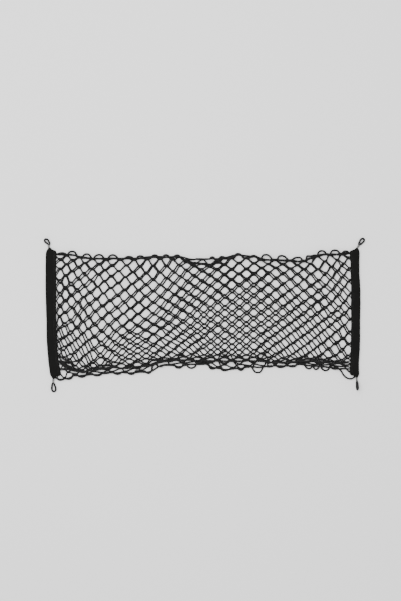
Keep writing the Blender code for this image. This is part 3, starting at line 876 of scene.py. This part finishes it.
def make_stitching(name, sections, material):
    """Rows of thread along the inner edge of a band, on both of its faces."""
    top, bottom = (sections[k].y + NET_SHIFT.y + away for k, away in STITCH_ENDS)
    routes = []
    for line in STITCH_LINES:
        for face in (-1, 1):
            for k in range(int((top - bottom) / STITCH_PITCH)):
                routes.append(stitch(sections, top - k * STITCH_PITCH, line, face))
    return tube_object(name, routes, material, sides=6)


# The ferrules and loops at the corners.

BARREL_LENGTH = 0.0095
BARREL_WIDTH = 0.0066
BARREL_THICKNESS = 0.0050
FERRULE_SIDES = 28
FERRULE_RISE = 0.5
FERRULE_SQUARENESS = 3.2
FERRULE_SHARP_FROM = 42  # Degrees.
LOOP_POINTS = 61
LOOP_START = 0.0012
LOOP_INSIDE = 0.0012
LOOP_PINCH = 0.8
LOOP_OPENS = 2.5
LOOP_SWELLS = 0.006
LOOP_BEND_STEPS = 16

# The ferrule from the tongue in the band to the barrel's mouth, in shares of the barrel's sizes. The
# pressed waist has two grooves. Up to TONGUE_END it lies between the band's plies.
TONGUE_END = 0.05
CUTS = table("along width thickness twist", [
    (-0.63, 0.72, 0.75, 0.0), (-0.55, 0.90, 1.02, 0.0), (0.03, 0.91, 1.04, 0.0),
    (0.08, 0.97, 1.02, 0.2), (0.22, 1.00, 1.00, 0.6), (0.27, 0.99, 0.98, 0.7),
    (0.31, 0.93, 0.86, 0.8), (0.38, 0.92, 0.84, 0.9), (0.43, 0.97, 0.94, 1.0),
    (0.50, 0.97, 0.94, 1.0), (0.55, 0.91, 0.84, 1.0), (0.62, 0.92, 0.86, 1.0),
    (0.67, 0.99, 0.98, 1.0), (0.92, 1.00, 1.00, 1.0), (0.97, 0.98, 0.96, 1.0),
    (1.00, 0.92, 0.88, 1.0),
])


def corner_place(corner):
    """The frame of a corner's ferrule, from where it leaves the band."""
    mouth = Vector((*corner.mouth, BAND_MIDDLE)) + NET_SHIFT
    heading = Matrix.Rotation(radians(corner.heading), 4, "Z")
    pitch = Matrix.Rotation(radians(corner.rise) * FERRULE_RISE, 4, "X")
    return Matrix.Translation(mouth) @ heading @ pitch


def make_ferrule(corner, material):
    place = corner_place(corner)
    tongue_thickness = BAND_THICKNESS - 2 * (BAND_FABRIC + LOOP_CLEARANCE)
    power = 2 / FERRULE_SQUARENESS
    shape = bmesh.new()
    rings = []
    for cut in CUTS:
        turn = Matrix.Rotation(radians(corner.tilt) * cut.twist, 3, "Y")
        thickness = tongue_thickness if cut.along < TONGUE_END else BARREL_THICKNESS
        thickness *= min(cut.thickness, 1.0)
        width = BARREL_WIDTH * cut.width
        ring = []
        for k in range(FERRULE_SIDES):
            angle = 2 * pi * (k + 0.5) / FERRULE_SIDES
            aside, up = cos(angle), sin(angle)
            x = copysign(abs(aside) ** power, aside) * width / 2
            z = copysign(abs(up) ** power, up) * thickness / 2
            point = turn @ Vector((x, 0, z))
            ring.append(shape.verts.new(place @ Vector((point.x, cut.along * BARREL_LENGTH, point.z))))
        rings.append(ring)
    for near, far in zip(rings, rings[1:]):
        for k in range(FERRULE_SIDES):
            after = (k + 1) % FERRULE_SIDES
            shape.faces.new((near[k], near[after], far[after], far[k]))
    shape.faces.new(rings[0])
    shape.faces.new(rings[-1])
    obj = shape_object("ferrule_" + corner.name + "_metal", shape, material)
    obj.data.set_sharp_from_angle(angle=radians(FERRULE_SHARP_FROM))
    return obj


def loop_frame(corner, along):
    """The loop's middle line at a distance from its base: the point there, and the sideways direction."""
    point = Vector((0, 0, 0))
    for step in range(LOOP_BEND_STEPS):
        share = ease(LOOP_OPENS * (step + 0.5) / LOOP_BEND_STEPS * along / corner.length)
        turn = radians(corner.bend) * share
        rise = radians(corner.rise) * (1 - FERRULE_RISE) * share
        direction = Vector((-sin(turn), cos(turn), sin(rise)))
        point += direction.normalized() * along / LOOP_BEND_STEPS
    side = Vector((cos(turn), sin(turn), 0))
    return point, Matrix.Rotation(radians(corner.tilt), 3, direction) @ side


def loop_outline(corner):
    """(distance along, distance sideways) round a drop shape: two strands together, then the belly."""
    apart = CORD_IN_FERRULE / 2 + LOOP_CLEARANCE / 2
    reach = corner.length - LOOP_CORD / 2 - LOOP_START
    belly = (corner.width - LOOP_CORD) / 2
    widest = 4 / 3**1.5  # The most that sin(a) * sin(a / 2) comes to.
    outline = [(-LOOP_INSIDE, apart * LOOP_PINCH), (0, apart)]
    for k in range(LOOP_POINTS):
        angle = 2 * pi * k / (LOOP_POINTS - 1)
        along = reach * (1 - cos(angle)) / 2
        aside = belly * sin(angle) * abs(sin(angle / 2)) / widest
        together = apart * (1 - ease(LOOP_OPENS * along / reach))
        side = np.sign(LOOP_POINTS // 2 - k)
        aside += side * together + corner.skew * sin(angle / 2) ** 2
        outline.append((LOOP_START + along, aside))
    return outline + [(0, -apart), (-LOOP_INSIDE, -apart * LOOP_PINCH)]


def make_loop(corner, material):
    place = corner_place(corner) @ Matrix.Translation((0, BARREL_LENGTH + LOOP_CLEARANCE, 0))
    points, diameters = [], []
    for along, aside in loop_outline(corner):
        middle, sideways = loop_frame(corner, along)
        points.append(place @ (middle + sideways * aside))
        diameters.append(blend(CORD_IN_FERRULE, LOOP_CORD, ease(along / LOOP_SWELLS)))
    return tube_object(f"loop_{corner.name}_cord", [(points, diameters)], material, sides=14)


# Materials, with the colours of their darkest and lightest parts. On the braids, the tape and the thread the
# lightest colour is a painted highlight on the crests of their relief and the darkest is painted shade in
# its hollows, mixed with random wear and tone; on the metal it is its own patchy tone.

CORD_DARK = (0.0007, 0.0007, 0.0007, 1)
NET_WEAR_AND_HIGHLIGHT = (0.010, 0.010, 0.0105, 1)
ELASTIC_WEAR_AND_HIGHLIGHT = (0.012, 0.012, 0.0125, 1)
TAPE_COLOURS = ((0.0012, 0.0012, 0.001, 1), (0.0065, 0.0065, 0.0058, 1))
METAL_COLOURS = ((0.09, 0.09, 0.09, 1), (0.19, 0.19, 0.185, 1))
THREAD_COLOURS = ((0.006, 0.006, 0.006, 1), (0.03, 0.03, 0.03, 1))
FLOOR_COLOUR = (0.93, 0.93, 0.93, 1)
WEFT_PITCH = 0.0013
WARP_PITCH = 0.0011


class Graph:
    """A material's node tree, with short names for the nodes that the materials here use."""

    def __init__(self, name):
        self.material = bpy.data.materials.new(name)
        self.material.use_nodes = True
        self.tree = self.material.node_tree
        self.shader = self.tree.nodes["Principled BSDF"]

    def connect(self, node, inputs):
        """Sets a node's inputs: to numbers, to colours or to other nodes' outputs."""
        for key, value in inputs.items():
            if isinstance(value, bpy.types.NodeSocket):
                self.tree.links.new(value, node.inputs[key])
            else:
                node.inputs[key].default_value = value

    def node(self, kind, inputs, **settings):
        node = self.tree.nodes.new("ShaderNode" + kind)
        for name, value in settings.items():
            setattr(node, name, value)
        self.connect(node, inputs)
        return node

    def math(self, operation, *values):
        return self.node("Math", dict(enumerate(values)), operation=operation).outputs[0]

    def wave(self, value, turns):
        return self.math("SINE", self.math("MULTIPLY", value, 2 * pi * turns))

    def place(self, kind):
        return self.node("TexCoord", {}).outputs[kind]

    def uv(self):
        return self.node("SeparateXYZ", {0: self.place("UV")}).outputs[:2]

    def noise(self, scale, detail=3.0):
        inputs = {"Vector": self.place("Object"), "Scale": scale, "Detail": detail}
        return self.node("TexNoise", inputs).outputs[0]

    def mix(self, share, a, b):
        inputs = {"Factor": share, "A": a, "B": b}
        return self.node("Mix", inputs, data_type="RGBA").outputs["Result"]

    def finish(self, relief, depth, inputs):
        """Sets the shader's inputs, and gives the surface its relief."""
        self.connect(self.shader, inputs)
        if depth:
            bump = self.node("Bump", {"Height": relief, "Distance": depth})
            self.connect(self.shader, {"Normal": bump.outputs[0]})
        return self.material


def braid_material(name, dark, light, carriers, roughness):
    """A round braid: two sets of ridges that wind round the cord and cross each other. The ridges' crests
    are painted lighter, a painted highlight, and the grooves darker, painted shade, more so in random
    patches of wear.
    """
    graph = Graph(name)
    u, v = graph.uv()
    ways = [graph.wave(graph.math(way, u, v), carriers) for way in ("ADD", "SUBTRACT")]
    height = graph.math("MULTIPLY_ADD", graph.math("MAXIMUM", *ways), 0.5, 0.5)
    fibres = graph.noise(2600)
    wear_and_highlight = graph.noise(55)
    # Painted highlight on the ridges and painted shade in the grooves, scaled by random patches of wear.
    shade = graph.math("MULTIPLY", height, graph.math("ADD", wear_and_highlight, 0.25))
    inputs = {
        "Base Color": graph.mix(shade, dark, light),
        "Roughness": graph.math("MULTIPLY_ADD", fibres, 0.25, roughness),
        "Specular IOR Level": 0.2,
        "Sheen Weight": 0.02,
        "Sheen Roughness": 0.5,
    }
    return graph.finish(graph.math("MULTIPLY_ADD", fibres, 0.4, height), 0.0004, inputs)


def tape_material(name, dark, light):
    """A plain-woven tape: fine ribs across it, warp lines along it, and a little fluff. The ribs' crests are
    painted lighter and the grooves darker, painted highlight and shade, with random fluff and patches of
    wear.
    """
    graph = Graph(name)
    u, v = graph.uv()
    weft = graph.wave(v, 1 / WEFT_PITCH)
    weave = graph.math("MULTIPLY", weft, graph.wave(u, 1 / WARP_PITCH))
    ribs = graph.math("MULTIPLY", weave, 0.4)
    ribs = graph.math("MULTIPLY_ADD", graph.math("ABSOLUTE", weft), 0.6, ribs)
    fibres = graph.noise(1800)
    wear_and_highlight = graph.noise(28)
    # Painted highlight on the ribs' crests and painted shade between them, with random fluff, scaled by
    # random patches of wear.
    shade = graph.math("MULTIPLY", graph.math("ADD", ribs, fibres), graph.math("MULTIPLY", wear_and_highlight, 0.75))
    inputs = {
        "Base Color": graph.mix(shade, dark, light),
        "Roughness": graph.math("MULTIPLY_ADD", fibres, 0.2, 0.72),
        "Specular IOR Level": 0.12,
        "Sheen Weight": 0.02,
        "Sheen Roughness": 0.6,
    }
    return graph.finish(graph.math("MULTIPLY_ADD", fibres, 0.5, ribs), 0.00018, inputs)


def metal_material(name, dark, light):
    """Pressed light metal: dull, with fine scratches and darker patches."""
    graph = Graph(name)
    patches = graph.noise(420)
    scratches = graph.noise(3800, 6)
    inputs = {
        "Base Color": graph.mix(patches, dark, light),
        "Roughness": graph.math("MULTIPLY_ADD", scratches, 0.3, 0.28),
        "Metallic": 0.9,
    }
    return graph.finish(scratches, 0.00006, inputs)


def thread_material(name, dark, light):
    """A thread twisted of two strands, painted lighter along the strands and darker between them, painted
    highlight and shade, with random tone.
    """
    graph = Graph(name)
    twist = graph.wave(graph.math("ADD", *graph.uv()), 2)
    # Painted highlight along the strands and painted shade between them, with random tone.
    shade = graph.math("MULTIPLY_ADD", twist, 0.3, graph.math("MULTIPLY", graph.noise(900), 0.6))
    inputs = {"Base Color": graph.mix(shade, dark, light), "Roughness": 0.55}
    return graph.finish(twist, 0.00008, inputs)


def floor_material():
    inputs = {"Base Color": FLOOR_COLOUR, "Roughness": 0.9, "Specular IOR Level": 0.1}
    return Graph("pale_floor").finish(None, 0, inputs)


# The stage.

FLOOR_SIZE = 30
WORLD_LIGHT = 1.2
LIGHT_SIZE = 3.5
LIGHT_POWER = 110
LIGHT_PLACE = (-0.8, 0.9, 3.0)


def make_camera():
    """Straight above the net, at the photograph's framing."""
    data = bpy.data.cameras.new("camera")
    data.lens = LENS * 1000
    data.sensor_width = SENSOR * 1000
    data.clip_end = FLOOR_SIZE
    camera = add_object("camera", data)
    middle = at_pixel(IMAGE_SIZE[0] / 2, IMAGE_SIZE[1] / 2)
    distance = IMAGE_SIZE[1] * PIXEL * LENS / SENSOR
    camera.location = (middle.x, middle.y, BAND_MIDDLE + distance)
    bpy.context.scene.camera = camera


def make_floor():
    bpy.ops.mesh.primitive_plane_add(size=FLOOR_SIZE)
    floor = bpy.context.object
    floor.name = "floor"
    floor.data.materials.append(floor_material())


def make_light():
    """Even white light from all round, and a large soft disk above."""
    world = bpy.data.worlds.new("studio")
    world.use_nodes = True
    background = world.node_tree.nodes["Background"]
    background.inputs["Color"].default_value = (1, 1, 1, 1)
    background.inputs["Strength"].default_value = WORLD_LIGHT
    bpy.context.scene.world = world
    data = bpy.data.lights.new("soft_box", "AREA")
    data.shape = "DISK"
    data.size = LIGHT_SIZE
    data.energy = LIGHT_POWER
    light = add_object("soft_box", data)
    light.location = LIGHT_PLACE
    light.rotation_euler = (-light.location).to_track_quat("-Z", "Y").to_euler()


def main():
    make_camera()
    make_floor()
    make_light()

    net = braid_material("net_braid", CORD_DARK, NET_WEAR_AND_HIGHLIGHT, carriers=8, roughness=0.56)
    elastic = braid_material("elastic_braid", CORD_DARK, ELASTIC_WEAR_AND_HIGHLIGHT, carriers=9, roughness=0.5)
    tape = tape_material("woven_tape", *TAPE_COLOURS)
    metal = metal_material("pressed_metal", *METAL_COLOURS)
    thread = thread_material("black_thread", *THREAD_COLOURS)

    pieces = []
    below = None
    for layer in ("back", "front"):
        mesh_layer, finished = make_layer(layer, below, net)
        below = cord_tree(finished)
        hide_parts("net_" + layer)
        pieces.append(mesh_layer)

    for name in ("back_top", "front_top", "back_bottom", "front_bottom"):
        cord = tube_object(f"edge_cord_{name}_braid", [edge_cord_route(name)], elastic, sides=12)
        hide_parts("edge_cord_" + name)
        pieces.append(cord)

    for side, sections in (("left", LEFT_BAND), ("right", RIGHT_BAND)):
        band = make_band(f"band_{side}_tape", sections, tape)
        stitching = make_stitching(f"band_{side}_stitching", sections, thread)
        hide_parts("band_" + side)
        pieces += [band, stitching]

    for corner in CORNERS:
        ferrule = make_ferrule(corner, metal)
        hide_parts("ferrule_" + corner.name)
        loop = make_loop(corner, elastic)
        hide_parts("loop_" + corner.name)
        pieces += [ferrule, loop]

    for piece in pieces:
        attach(piece, "root")


main()
